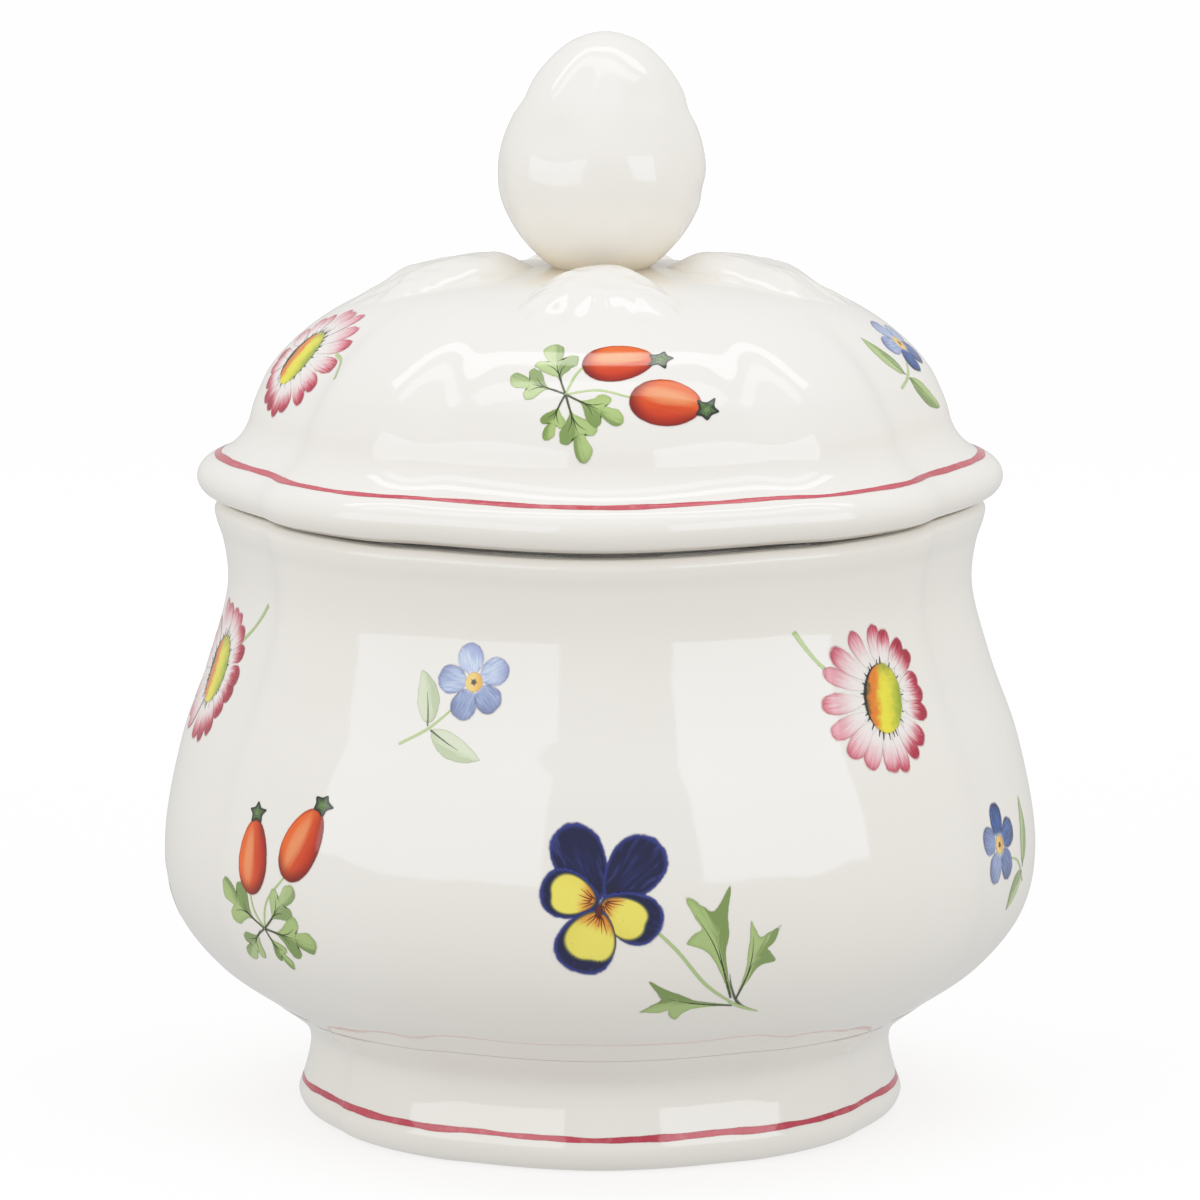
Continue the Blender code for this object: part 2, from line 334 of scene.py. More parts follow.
def turned(name, outline, form, material, closed=False):
    """A lobed, turned piece. Its outline may start or end on the axis, or close on itself."""
    azimuth = np.arange(SEGMENTS) * 360.0 / SEGMENTS
    start = outline[0] if outline[0, 0] < 1e-6 else None
    end = outline[-1] if outline[-1, 0] < 1e-6 else None
    body = outline[(0 if start is None else 1):(len(outline) if end is None else -1)]
    points = spin(body[:, :1], body[:, 1:], azimuth[None, :], form).reshape(-1, 3)
    rows = len(body)
    faces = ring_faces(rows, SEGMENTS, closed=closed)
    for pole, row, flip in ((start, 0, False), (end, rows - 1, True)):
        if pole is not None:
            points = np.vstack([points, [[0.0, 0.0, pole[1]]]])
            faces += fan_faces(len(points) - 1, row * SEGMENTS, SEGMENTS, flip)
    piece = add_mesh(name, points, faces, [material])
    piece.data.set_sharp_from_angle(angle=math.radians(SHARP_ANGLE))
    return piece


# ------------------------------ materials
def srgb(red, green, blue):
    """Linear colour from 0-255 display values."""
    channels = []
    for value in (red, green, blue):
        value = value / 255.0
        channels.append(value / 12.92 if value <= 0.04045 else ((value + 0.055) / 1.055) ** 2.4)
    return (*channels, 1.0)


PORCELAIN = srgb(240, 236, 229)
IVORY = srgb(238, 230, 214)
MIX_FACTOR, MIX_FIRST, MIX_SECOND, MIX_RESULT = 0, 6, 7, 2    # sockets of a colour Mix node


class Nodes:
    """Short names for the node calls that the materials share."""

    def __init__(self, name):
        self.material = bpy.data.materials.new(name)
        self.material.use_nodes = True
        self.tree = self.material.node_tree
        self.shader = self.tree.nodes["Principled BSDF"]

    def node(self, kind, plugs=(), **settings):
        """A new node with these settings, and with a value or another socket plugged into its inputs."""
        node = self.tree.nodes.new(kind)
        for key, value in settings.items():
            setattr(node, key, value)
        for socket, value in dict(plugs).items():
            self.plug(value, node.inputs[socket])
        return node

    def plug(self, value, socket):
        if isinstance(value, bpy.types.NodeSocket):
            self.tree.links.new(value, socket)
        else:
            socket.default_value = value

    def math(self, operation, first, second=0.0, third=0.0):
        plugs = enumerate((first, second, third))
        return self.node("ShaderNodeMath", plugs, operation=operation).outputs[0]

    def times(self, first, second):
        return self.math("MULTIPLY", first, second)

    def plus(self, first, second):
        return self.math("ADD", first, second)

    def scaled(self, value, factor, shift):
        return self.math("MULTIPLY_ADD", value, factor, shift)

    def mix(self, share, first, second):
        """First colour where share is 0, second where it is 1."""
        node = self.node("ShaderNodeMix", data_type="RGBA")
        for socket, value in ((MIX_FACTOR, share), (MIX_FIRST, first), (MIX_SECOND, second)):
            self.plug(value, node.inputs[socket])
        return node.outputs[MIX_RESULT]

    def over(self, colour, mask, shade, strength=None):
        """A colour with an sRGB shade laid over it where the mask is 1, as strongly as it says."""
        share = mask if strength is None else self.times(mask, strength)
        return self.mix(share, colour, srgb(*shade))

    def place(self):
        """Separated coordinates in the piece's own space."""
        return self.split(self.node("ShaderNodeTexCoord").outputs["Object"])

    def split(self, vector):
        return self.node("ShaderNodeSeparateXYZ", {0: vector}).outputs

    def ramp(self, value, low, high):
        """0 below low, 1 above high, smooth in between. low may be above high."""
        plugs = {
            "Value": value, "From Min": min(low, high), "From Max": max(low, high),
            "To Min": float(low > high), "To Max": float(low <= high),
        }
        return self.node("ShaderNodeMapRange", plugs, interpolation_type="SMOOTHSTEP").outputs[0]

    def noise(self, scale, detail=2.0, vector=None, stretch=None):
        """Noise from 0 to 1 in the piece's own space, or in the space of a vector socket."""
        if vector is None:
            vector = self.node("ShaderNodeTexCoord").outputs["Object"]
        if stretch is not None:
            vector = self.node("ShaderNodeMapping", {"Scale": stretch, "Vector": vector}).outputs[0]
        plugs = {"Scale": scale, "Detail": detail, "Vector": vector}
        return self.node("ShaderNodeTexNoise", plugs).outputs["Fac"]


def glaze_finish(nodes, colour, bare=0.0):
    """The one clear, glossy glaze that covers porcelain and painting alike, dull where it is bare."""
    roughness = nodes.scaled(nodes.noise(55.0, 3.0), 0.05, 0.035)
    peel = {"Strength": 0.10, "Distance": 0.0004, "Height": nodes.noise(170.0, 1.0)}
    finish = {
        "Base Color": colour, "Metallic": 0.0, "IOR": 1.56,
        "Roughness": nodes.scaled(bare, 0.5, roughness) if bare else roughness,
        "Normal": nodes.node("ShaderNodeBump", peel).outputs[0],
    }
    for socket, value in finish.items():
        nodes.plug(value, nodes.shader.inputs[socket])
    return nodes.material


def porcelain_material(name, warm_low=None, warm_high=None, bare_below=None):
    """Warm white body under clear glaze, tinted ivory from warm_low towards warm_high in height, and bare
    where it was wiped off.
    """
    nodes = Nodes(name)
    height = nodes.math("DIVIDE", nodes.place()["Z"], MM)
    mottle = nodes.ramp(nodes.noise(38.0, 4.0), 0.35, 0.75)
    colour = nodes.over(PORCELAIN, mottle, (242, 240, 235), 0.35)
    if warm_low is not None:
        # ivory tint, a little darker and warmer than the body, growing from warm_low to warm_high: on the
        # lid and knob this lies round the knob's root
        ivory_share = nodes.ramp(height, warm_low, warm_high)
        ivory_share = nodes.times(ivory_share, nodes.scaled(mottle, 0.3, 0.7))
        colour = nodes.mix(ivory_share, colour, IVORY)
    if bare_below is None:
        return glaze_finish(nodes, colour)
    return glaze_finish(nodes, colour, nodes.ramp(height, bare_below + 0.1, bare_below - 0.1))


def painted(name, colouring, edge_start=0.80, edge_end=0.99, round_patch=True, strength=1.0, ragged=0.22):
    """Enamel paint under the glaze: colouring(nodes, across, along, rim, tint, streak) gives its colour.

    On a round patch, across and along run from -1 to 1 and rim is 1 at the border.
    On a line, across runs from -1 to 1, along from 0 to 1, and rim is 1 at either side.
    """
    nodes = Nodes(name)
    stroke = nodes.split(nodes.node("ShaderNodeUVMap", uv_map="stroke").outputs[0])
    tint = nodes.node("ShaderNodeAttribute", attribute_name="tint").outputs["Fac"]
    across = nodes.scaled(stroke["X"], 2.0, -1.0)
    along = stroke["Y"]
    if round_patch:
        along = nodes.scaled(along, 2.0, -1.0)
        square = nodes.plus(nodes.times(across, across), nodes.times(along, along))
        rim = nodes.math("SQRT", square)
    else:
        rim = nodes.math("ABSOLUTE", across)
    own_place = {"X": stroke["X"], "Y": stroke["Y"], "Z": nodes.times(tint, 31.0)}
    bristles = nodes.node("ShaderNodeCombineXYZ", own_place).outputs[0]
    streak = nodes.noise(1.0, 3.0, bristles, (16.0, 2.6, 1.0))
    colour = colouring(nodes, across, along, rim, tint, streak)
    border = nodes.scaled(nodes.math("SUBTRACT", nodes.noise(900.0, 2.0), 0.5), ragged, rim)
    cover = nodes.times(nodes.ramp(border, edge_end, edge_start), strength)
    nodes.plug(cover, nodes.shader.inputs["Alpha"])
    return glaze_finish(nodes, colour)


def flat_colour(red, green, blue, wash=0.25):
    """Even paint, a little thinner along some bristles."""
    def colouring(nodes, across, along, rim, tint, streak):
        share = nodes.times(nodes.ramp(streak, 0.45, 0.75), wash)
        return nodes.mix(share, srgb(red, green, blue), PORCELAIN)
    return colouring


def rose_petal(nodes, across, along, rim, tint, streak):
    """White by the flower's disc, rose at the tip, and crimson where tint says it is heavily loaded."""
    reach = nodes.plus(along, nodes.scaled(streak, 1.2, -0.6))
    loaded = nodes.scaled(tint, 1.15, reach)
    colour = nodes.mix(nodes.ramp(reach, -0.55, 0.75), srgb(243, 236, 233), srgb(229, 158, 170))
    colour = nodes.over(colour, nodes.ramp(loaded, 0.50, 1.45), (194, 60, 84))
    colour = nodes.over(colour, nodes.ramp(loaded, 1.05, 1.80), (156, 24, 46))
    side = nodes.times(nodes.ramp(rim, 0.60, 0.90), nodes.ramp(along, -0.5, 0.4))
    return nodes.over(colour, side, (188, 66, 92), 0.42)


def daisy_disc(nodes, across, along, rim, tint, streak):
    """Yellow dome, green on the right and top, orange then dark on the left."""
    grain = nodes.noise(1300.0, 2.0)
    wobble = nodes.scaled(grain, 0.5, -0.25)
    where = nodes.plus(across, wobble)
    colour = nodes.mix(nodes.ramp(where, 0.1, 0.95), srgb(236, 226, 66), srgb(150, 172, 54))
    top = nodes.ramp(nodes.plus(along, wobble), 0.45, 1.0)
    colour = nodes.over(colour, top, (146, 160, 60), 0.8)
    colour = nodes.over(colour, nodes.ramp(where, -0.08, -0.5), (230, 130, 40))
    return nodes.over(colour, nodes.ramp(where, -0.62, -0.9), (96, 84, 44))


def blue_petal(nodes, across, along, rim, tint, streak):
    """Tint 0 is a pale sky-blue petal, and tint 1 a deep cobalt one, each with a darker outline."""
    pale = nodes.mix(nodes.ramp(streak, 0.35, 0.7), srgb(208, 219, 241), srgb(168, 188, 230))
    deep = nodes.mix(nodes.ramp(streak, 0.35, 0.7), srgb(48, 98, 172), srgb(16, 46, 112))
    colour = nodes.mix(tint, pale, deep)
    shade = nodes.ramp(nodes.scaled(across, 0.6, along), -0.1, 1.2)
    shaded = nodes.mix(tint, srgb(132, 142, 194), srgb(14, 32, 84))
    colour = nodes.mix(nodes.times(shade, 0.8), colour, shaded)
    outline = nodes.times(nodes.ramp(rim, 0.66, 0.86), nodes.ramp(streak, 0.3, 0.6))
    colour = nodes.mix(nodes.times(outline, 0.5), colour, shaded)
    return nodes.over(colour, nodes.ramp(along, -0.6, -1.0), (214, 224, 240))


def forget_eye(nodes, across, along, rim, tint, streak):
    colour = nodes.mix(nodes.ramp(across, -0.2, 0.7), srgb(244, 206, 120), srgb(236, 178, 66))
    return nodes.over(colour, nodes.ramp(rim, 0.34, 0.2), (70, 66, 40))


def navy_petal(nodes, across, along, rim, tint, streak):
    """Deep blue with fine lighter hatching and a bright blue border."""
    fine = nodes.noise(520.0, 3.0)
    hatch = nodes.times(nodes.ramp(nodes.scaled(fine, 0.5, streak), 0.78, 0.98), 0.62)
    colour = nodes.mix(hatch, srgb(16, 20, 66), srgb(56, 66, 132))
    body = nodes.times(nodes.ramp(rim, 0.75, 0.1), nodes.ramp(streak, 0.35, 0.65))
    colour = nodes.over(colour, body, (32, 42, 104), 0.5)
    colour = nodes.over(colour, nodes.ramp(along, -0.35, -0.95), (14, 16, 44))
    return nodes.over(colour, nodes.ramp(rim, 0.80, 0.94), (52, 64, 148), 0.8)


def yellow_petal(nodes, across, along, rim, tint, streak):
    """Yellow, blushing orange where it meets the throat, with a dark green edge at its border."""
    blush = nodes.plus(nodes.ramp(along, 0.25, -0.9), nodes.scaled(streak, 0.8, -0.4))
    colour = nodes.mix(nodes.ramp(blush, 0.28, 1.0), srgb(240, 228, 104), srgb(224, 138, 48))
    colour = nodes.over(colour, nodes.ramp(across, 0.0, 0.9), (226, 206, 84), 0.3)
    return nodes.over(colour, nodes.ramp(rim, 0.84, 0.98), (70, 78, 62))


def rosehip(nodes, across, along, rim, tint, streak):
    """Orange-red fruit with a soft light streak left of its middle and a dark right and lower border."""
    turned_away = nodes.scaled(streak, 0.5, across)
    colour = nodes.mix(nodes.ramp(turned_away, -0.6, 1.1), srgb(238, 106, 40), srgb(198, 54, 22))
    off_middle = nodes.plus(across, 0.26)
    inner = nodes.plus(nodes.times(off_middle, off_middle), nodes.times(nodes.times(along, along), 0.22))
    light = nodes.plus(inner, nodes.scaled(streak, 0.10, -0.05))
    colour = nodes.over(colour, nodes.ramp(light, 0.20, 0.0), (248, 176, 122), 0.55)
    side = nodes.times(nodes.ramp(rim, 0.50, 1.0), nodes.ramp(across, -0.1, 0.6))
    colour = nodes.over(colour, side, (140, 28, 18), 0.85)
    foot = nodes.times(nodes.ramp(rim, 0.55, 1.0), nodes.ramp(along, -0.2, -0.9))
    colour = nodes.over(colour, foot, (116, 24, 18), 0.8)
    return nodes.over(colour, nodes.ramp(rim, 0.86, 0.97), (122, 28, 24), 0.55)


def leaf_green(nodes, across, along, rim, tint, streak):
    """Spring green, one half of the blade darker than the other."""
    light = nodes.mix(tint, srgb(214, 222, 196), srgb(170, 194, 122))
    dark = nodes.mix(tint, srgb(188, 201, 166), srgb(124, 150, 80))
    half = nodes.plus(across, nodes.scaled(streak, 1.0, -0.5))
    colour = nodes.mix(nodes.ramp(half, -0.15, 0.35), light, dark)
    return nodes.mix(nodes.times(nodes.ramp(rim, 0.72, 0.95), 0.35), colour, dark)


def calyx_green(nodes, across, along, rim, tint, streak):
    colour = nodes.mix(nodes.ramp(streak, 0.4, 0.65), srgb(98, 124, 78), srgb(62, 84, 58))
    return nodes.over(colour, nodes.ramp(rim, 0.45, 0.85), (38, 46, 40))


def rose_line(nodes, across, along, rim, tint, streak):
    """A brushed line, laid twice in places, with pigment gathered along its sides."""
    load = nodes.ramp(nodes.noise(60.0, 3.0), 0.35, 0.7)
    colour = nodes.mix(load, srgb(200, 78, 94), srgb(184, 52, 74))
    grain = nodes.times(nodes.ramp(nodes.noise(700.0, 2.0), 0.45, 0.8), 0.3)
    colour = nodes.over(colour, grain, (226, 150, 156))
    return nodes.over(colour, nodes.ramp(rim, 0.4, 0.8), (170, 48, 70), 0.35)


# ------------------------------ painting on the surface
def sideways(spots):
    """Unit vectors to the right of a path at each of its points."""
    heading = np.gradient(spots, axis=0)
    heading /= np.linalg.norm(heading, axis=1, keepdims=True)
    return np.stack([heading[:, 1], -heading[:, 0]], axis=1)


class Motif:
    """One painted sprig. Its strokes are drawn in mm, x to the right and y up, about its middle."""

    def __init__(self, name, surface, azimuth, height, turn=0.0):
        self.name = name
        self.surface = surface
        self.azimuth = azimuth
        self.arc = surface.arc_at_height(height)
        self.turn = math.radians(turn)
        self.points = []
        self.normals = []
        self.faces = []
        self.slots = []
        self.uv = []
        self.tint = []
        self.materials = []
        self.layer = 0

    def lay(self, drawing, faces, uv, kind, tint):
        """Press a flat drawing onto the surface, above everything painted before it."""
        self.layer += 1
        drawing = np.asarray(drawing, float)
        cosine, sine = math.cos(self.turn), math.sin(self.turn)
        across = drawing[:, 0] * cosine - drawing[:, 1] * sine
        up = drawing[:, 0] * sine + drawing[:, 1] * cosine
        arc = self.arc + up
        azimuth = self.azimuth + np.degrees(across / self.surface.radius(arc))
        lift = np.full(len(arc), PAINT_LIFT + STROKE_LIFT * self.layer)
        first = sum(len(block) for block in self.points)
        self.points.append(self.surface.lifted(azimuth, arc, lift))
        self.normals.append(self.surface.normal(azimuth, arc))
        self.faces.extend(tuple(corner + first for corner in face) for face in faces)
        material = PAINT[kind]
        if material not in self.materials:
            self.materials.append(material)
        self.slots.extend([self.materials.index(material)] * len(faces))
        self.uv.extend(uv)
        self.tint.extend([tint] * len(drawing))

    def patch(self, kind, outline, tint=0.5, middle=None, rings=7):
        """A filled shape. Outline points run anticlockwise, starting towards the patch's own right."""
        outline = np.asarray(outline, float)
        middle = outline.mean(axis=0) if middle is None else np.asarray(middle, float)
        count = len(outline)
        angles = 2.0 * math.pi * np.arange(count) / count
        drawing, uv = [middle], [(0.5, 0.5)]
        for ring in range(1, rings + 1):
            reach = ring / rings
            drawing.extend(middle + (outline - middle) * reach)
            uv.extend(zip(0.5 + 0.5 * reach * np.cos(angles), 0.5 + 0.5 * reach * np.sin(angles)))
        self.lay(drawing, fan_faces(0, 1, count) + ring_faces(rings, count, 1), uv, kind, tint)

    def line(self, kind, spine, widths, tint=0.5, rows=18, columns=6):
        """A brush line along a spine, with its half-width given at the spine's own points."""
        curve = curve_through(spine, 8)
        steps = np.concatenate([[0.0], np.cumsum(np.hypot(*np.diff(curve, axis=0).T))])
        share = np.linspace(0.0, 1.0, rows + 1)
        at = share * steps[-1]
        spots = np.stack([np.interp(at, steps, curve[:, 0]), np.interp(at, steps, curve[:, 1])], axis=1)
        side = sideways(spots)
        half = np.interp(share, np.linspace(0.0, 1.0, len(widths)), widths)
        drawing, uv = [], []
        for row in range(rows + 1):
            for column in range(columns + 1):
                reach = 2.0 * column / columns - 1.0
                drawing.append(spots[row] + side[row] * half[row] * reach)
                uv.append((column / columns, share[row]))
        faces = []
        for row in range(rows):
            for column in range(columns):
                a = row * (columns + 1) + column
                faces.append((a, a + 1, a + columns + 2, a + columns + 1))
        self.lay(drawing, faces, uv, kind, tint)

    def finish(self, body, slot):
        piece = add_mesh(self.name, np.vstack(self.points), self.faces, self.materials, self.slots,
                         self.uv, self.tint, np.vstack(self.normals))
        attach(piece, body)


def direction(angle):
    """Unit vector at an angle in degrees, anticlockwise from the right."""
    turn = math.radians(angle)
    return np.array([math.cos(turn), math.sin(turn)])


def right_of(way):
    return np.array([way[1], -way[0]])


def oval(reach, rise, count, middle=(0.0, 0.0)):
    turn = 2.0 * math.pi * np.arange(count) / count
    return np.stack([middle[0] + reach * np.cos(turn), middle[1] + rise * np.sin(turn)], axis=1)


def petal_outline(base, angle, length, width, blunt=0.35, count=28):
    """Teardrop that starts at base and points along angle. Blunt moves its widest part to the tip."""
    forward = direction(angle)
    side = right_of(forward)
    outline = []
    for turn in 2.0 * math.pi * np.arange(count) / count:
        along = length * (0.5 + 0.5 * math.sin(turn))
        across = 0.5 * width * math.cos(turn) * (1.0 + blunt * math.sin(turn))
        outline.append(np.array(base) + forward * along + side * across)
    return outline


def paint_daisy(motif, rng, petals=18, reach=8.8, disc=(3.0, 4.15), heavy=0.0, long_side=205.0):
    """Pink and crimson daisy. Petals towards heavy degrees carry the most colour."""
    disc = np.array(disc)
    start = rng.uniform(0.0, 360.0)
    angles = [start + 360.0 * (index + rng.uniform(-0.22, 0.22)) / petals for index in range(petals)]
    for angle in sorted(angles, key=lambda value: rng.random()):
        base = disc * 0.86 * direction(angle)
        shade = 0.5 + 0.5 * math.cos(math.radians(angle - heavy))
        extent = reach + 1.1 * math.cos(math.radians(angle - long_side))
        length = extent - math.hypot(*base) - rng.uniform(0.0, 0.9)
        width = rng.uniform(1.95, 2.5) * reach / 8.4
        tint = min(max(0.05 + 0.80 * shade + rng.uniform(-0.15, 0.15), 0.0), 1.0)
        outline = petal_outline(base, angle + rng.uniform(-5.0, 5.0), length, width, 0.42)
        motif.patch("rose_petal", outline, tint)
    motif.patch("daisy_disc", oval(*disc, 36), rng.random())
    marks = 26
    for index in range(marks):
        angle = 360.0 * (index + rng.uniform(-0.3, 0.3)) / marks
        dark = 0.5 - 0.5 * math.cos(math.radians(angle - heavy))
        if rng.random() > 0.35 + 0.75 * dark:
            continue
        inner = disc * 0.95 * direction(angle)
        outer = inner * (1.10 + 0.10 * dark + rng.uniform(0.0, 0.08))
        motif.line("ink", [inner, outer], [0.10 + 0.08 * dark, 0.05], rng.random(), 4, 4)
    left = [disc * 0.97 * direction(angle) for angle in range(112, 251, 20)]
    motif.line("ink", left, [0.05, 0.18, 0.26, 0.18, 0.05], rng.random(), 24, 4)


def paint_forget_me_not(motif, rng, tints, reach=4.0, first=108.0):
    """Five round blue petals about a yellow eye."""
    start = rng.uniform(-6.0, 6.0) + first
    for index, tint in enumerate(tints):
        angle = start - 72.0 * index
        length = reach - 0.6 + rng.uniform(-0.3, 0.2)
        width = rng.uniform(2.9, 3.2) * reach / 4.0
        turned_to = angle + rng.uniform(-5.0, 5.0)
        outline = petal_outline(0.72 * direction(angle), turned_to, length, width, 0.12, 36)
        motif.patch("blue_petal", outline, tint)
    motif.patch("forget_eye", oval(1.15, 1.15, 24), rng.random())
    for index in range(5):
        spot = direction(start - 36.0 - 72.0 * index)
        motif.line("ink", [spot * 0.25, spot * 0.48], [0.06, 0.03], rng.random(), 3, 4)


def paint_leaf(motif, base, tip, width, bend, rng, tint=0.8):
    """A plain pointed leaf with a dark midrib."""
    base, tip = np.array(base, float), np.array(tip, float)
    middle = (base + tip) / 2.0 + right_of(tip - base) / np.linalg.norm(tip - base) * bend
    spine = curve_through([base, middle, tip], 12)
    count = len(spine)
    half = 0.5 * width * np.sin(math.pi * np.linspace(0.0, 1.0, count) ** 0.8) ** 0.85
    half[0] = half[-1] = 0.02
    out = sideways(spine) * half[:, None]
    right, left = spine + out, spine - out
    loop = np.vstack([right[count // 2:], left[::-1][1:], right[1:count // 2]])
    motif.patch("leaf_green", loop, tint, middle=spine[count // 2], rings=6)
    midrib = [base, base + (middle - base) * 0.7, middle + (tip - middle) * 0.15]
    motif.line("ink_soft", midrib, [0.16, 0.11, 0.03], rng.random(), 12, 4)


def paint_shape(motif, shape, base, tip, width, rng, tint=0.9, veins=()):
    """A lobed leaf from its stalk to its middle lobe's tip. A negative width mirrors it.

    A vein is (start along the leaf, sideways reach as a share of the width, end along the leaf).
    """
    base, way = np.array(base, float), np.subtract(tip, base)
    side = right_of(way) / np.linalg.norm(way) * width
    corners = [base + way * (along + rng.uniform(-0.012, 0.012)) + side * across * rng.uniform(0.93, 1.07)
               for along, across in shape]
    loop = curve_through(corners if width > 0.0 else corners[::-1], 5, closed=True)
    loop = np.roll(loop, -(len(loop) // 4), axis=0)
    motif.patch("leaf_green", loop, tint, middle=base + way * 0.58, rings=6)
    root = base * 0.1 if np.hypot(*base) < 1.5 else base
    midrib = [root, base + way * 0.2, base + way * 0.52]
    motif.line("ink_soft", midrib, [0.22, 0.17, 0.03], rng.random(), 12, 4)
    for start, reach, end in veins:
        first, last = base + way * start, base + way * end + side * reach
        motif.line("ink_soft", [first, (first + last) / 2 - side * reach * 0.2, last],
                   [0.10, 0.08, 0.02], rng.random(), 12, 4)


FORK = (                     # a long-stalked leaf with three pointed lobes, one of them lower
    (0.00, 0.02), (0.24, 0.07), (0.44, 0.13), (0.60, 0.26), (0.76, 0.34), (0.99, 0.52), (0.88, 0.24),
    (0.83, 0.06), (0.92, -0.14), (1.03, -0.42), (0.82, -0.36), (0.72, -0.26), (0.70, -0.40),
    (0.62, -0.62), (0.54, -0.34), (0.44, -0.17), (0.24, -0.07),
)
LOBED = (                    # a short leaf cut into three rounded lobes
    (0.00, 0.02), (0.20, 0.06), (0.32, 0.28), (0.46, 0.60), (0.62, 0.66), (0.68, 0.44), (0.61, 0.22),
    (0.77, 0.31), (0.93, 0.32), (1.02, 0.12), (0.98, -0.14), (0.87, -0.30), (0.71, -0.25), (0.60, -0.21),
    (0.66, -0.46), (0.58, -0.66), (0.43, -0.56), (0.31, -0.27), (0.20, -0.06),
)


def paint_hip(motif, middle, angle, length, width, rng):
    """One rosehip whose calyx points along angle."""
    forward = direction(angle)
    side = right_of(forward)
    outline = []
    for turn in 2.0 * math.pi * np.arange(36) / 36:
        across = 0.5 * width * math.cos(turn) * (1.0 - 0.13 * math.sin(turn))
        outline.append(np.array(middle) + side * across + forward * 0.5 * length * math.sin(turn))
    motif.patch("rosehip", outline, rng.random(), rings=9)
    crown = np.array(middle) + forward * (0.5 * length + 0.6)
    for kind, reach, waist in (("calyx_green", 1.75, 1.02), ("calyx_light", 0.85, 0.55)):
        star = []
        for index in range(10):
            point = (waist if index % 2 else reach * rng.uniform(0.72, 1.12)) * width / 5.4
            star.append(crown + point * direction(angle + 36.0 * index) * (1.0, 0.85))
        motif.patch(kind, curve_through(star, 4, closed=True), rng.random(), rings=5)


def paint_pansy(motif, rng):
    """Two navy upper petals, three yellow lower ones edged in navy, and a forked leafy stem."""
    motif.line("stem", [(5.6, -2.4), (8.6, -5.4), (11.8, -9.6), (15.0, -12.6)],
               [0.22, 0.24, 0.26, 0.2], 0.8, 30)
    paint_shape(motif, FORK, (14.8, -11.8), (11.8, 1.1), 5.8, rng, 0.95, ((0.3, -0.30, 0.84),))
    paint_shape(motif, FORK, (15.4, -12.0), (19.2, -2.8), -4.2, rng, 0.9, ((0.34, 0.26, 0.8),))
    paint_shape(motif, FORK, (15.0, -13.0), (4.8, -11.4), 4.8, rng, 0.95, ((0.3, 0.1, 0.75),))
    motif.line("ink_soft", [(17.6, -14.2), (15.8, -12.8), (14.9, -10.4), (14.6, -8.4)],
               [0.10, 0.34, 0.20, 0.04], 0.5, 14, 4)
    motif.line("stem", [(14.6, -12.4), (16.2, -13.4), (18.2, -14.4)], [0.3, 0.3, 0.12], 0.8, 10)
    for petal in (((-0.1, 0.2), 114.0, 9.5, 6.0, 0.26), ((0.6, 0.3), 49.0, 8.9, 6.3, 0.30)):
        motif.patch("navy_petal", petal_outline(*petal, 48), rng.random(), rings=12)
    for navy, yellow in (                  # base, angle, length and width of each
        (((0.2, 0.2), 166.0, 7.1, 5.5), ((-0.4, 0.4), 166.0, 5.4, 4.5)),
        (((-0.1, 0.6), -28.0, 7.8, 5.7), ((0.2, 0.4), -35.0, 5.9, 4.4)),
        (((0.2, -0.3), 247.0, 8.0, 6.7), ((0.1, -0.7), 250.0, 6.0, 5.7)),
    ):
        motif.patch("navy_petal", petal_outline(*navy, 0.30, 48), rng.random(), rings=9)
        petal = np.array(petal_outline(*yellow, 0.26, 48))
        middle = petal.mean(axis=0)
        notch = 1.0 - 0.10 * np.exp(-((np.arange(48) - 14) / 2.2) ** 2)
        motif.patch("yellow_petal", middle + (petal - middle) * notch[:, None], rng.random(), rings=9)
        for index in range(6):
            ray = direction(yellow[1] + (index - 2.5) * 15.0 + rng.uniform(-3.0, 3.0))
            start = yellow[0] + ray * rng.uniform(0.3, 0.7)
            end = start + ray * rng.uniform(0.9, 2.1)
            motif.line("brown", [start, end], [0.13, 0.02], rng.random(), 8, 4)
    motif.patch("brown_wash", oval(0.55, 1.1, 20, (-0.1, -0.6)), 0.5, rings=5)


def paint_rosehips(motif, rng, fruits, leaves, stems):
    for spine in stems:
        motif.line("stem", spine, [0.16] + [0.19] * (len(spine) - 2) + [0.14], 0.6, 24)
    for base, tip, width, tint in leaves:
        paint_shape(motif, LOBED, base, tip, width, rng, tint, ((0.24, 0.3, 0.5), (0.3, -0.3, 0.56)))
    for middle, angle, length, width in fruits:
        paint_hip(motif, middle, angle, length, width, rng)


PAINT = {
    "rose_petal": painted("paint_rose_petal", rose_petal),
    "daisy_disc": painted("paint_daisy_disc", daisy_disc, 0.90, 1.0, ragged=0.10),
    "blue_petal": painted("paint_blue_petal", blue_petal, 0.80, 1.0),
    "forget_eye": painted("paint_forget_eye", forget_eye, 0.84, 1.0),
    "navy_petal": painted("paint_navy_petal", navy_petal, 0.90, 1.0, ragged=0.14),
    "yellow_petal": painted("paint_yellow_petal", yellow_petal, 1.5, 1.6),
    "rosehip": painted("paint_rosehip", rosehip, 0.95, 1.0, ragged=0.05),
    "leaf_green": painted("paint_leaf_green", leaf_green, 0.88, 1.0),
    "calyx_green": painted("paint_calyx_green", calyx_green, 0.9, 1.0),
    "calyx_light": painted("paint_calyx_light", flat_colour(120, 150, 92, 0.0), 0.3, 1.0, strength=0.8),
    "stem": painted("paint_stem", flat_colour(176, 200, 136), 0.55, 1.0, False),
    "ink": painted("paint_ink", flat_colour(40, 44, 46, 0.0), 0.4, 1.0, False),
    "ink_soft": painted("paint_ink_soft", flat_colour(62, 74, 50, 0.0), 0.2, 1.0, False, 0.85),
    "brown": painted("paint_brown", flat_colour(110, 50, 24, 0.0), 0.4, 1.0, False, 0.75),
    "brown_wash": painted("paint_brown_wash", flat_colour(92, 36, 28, 0.0), 0.3, 1.0),
    "rose_line": painted("paint_rose_line", rose_line, 0.62, 0.98, False),
}


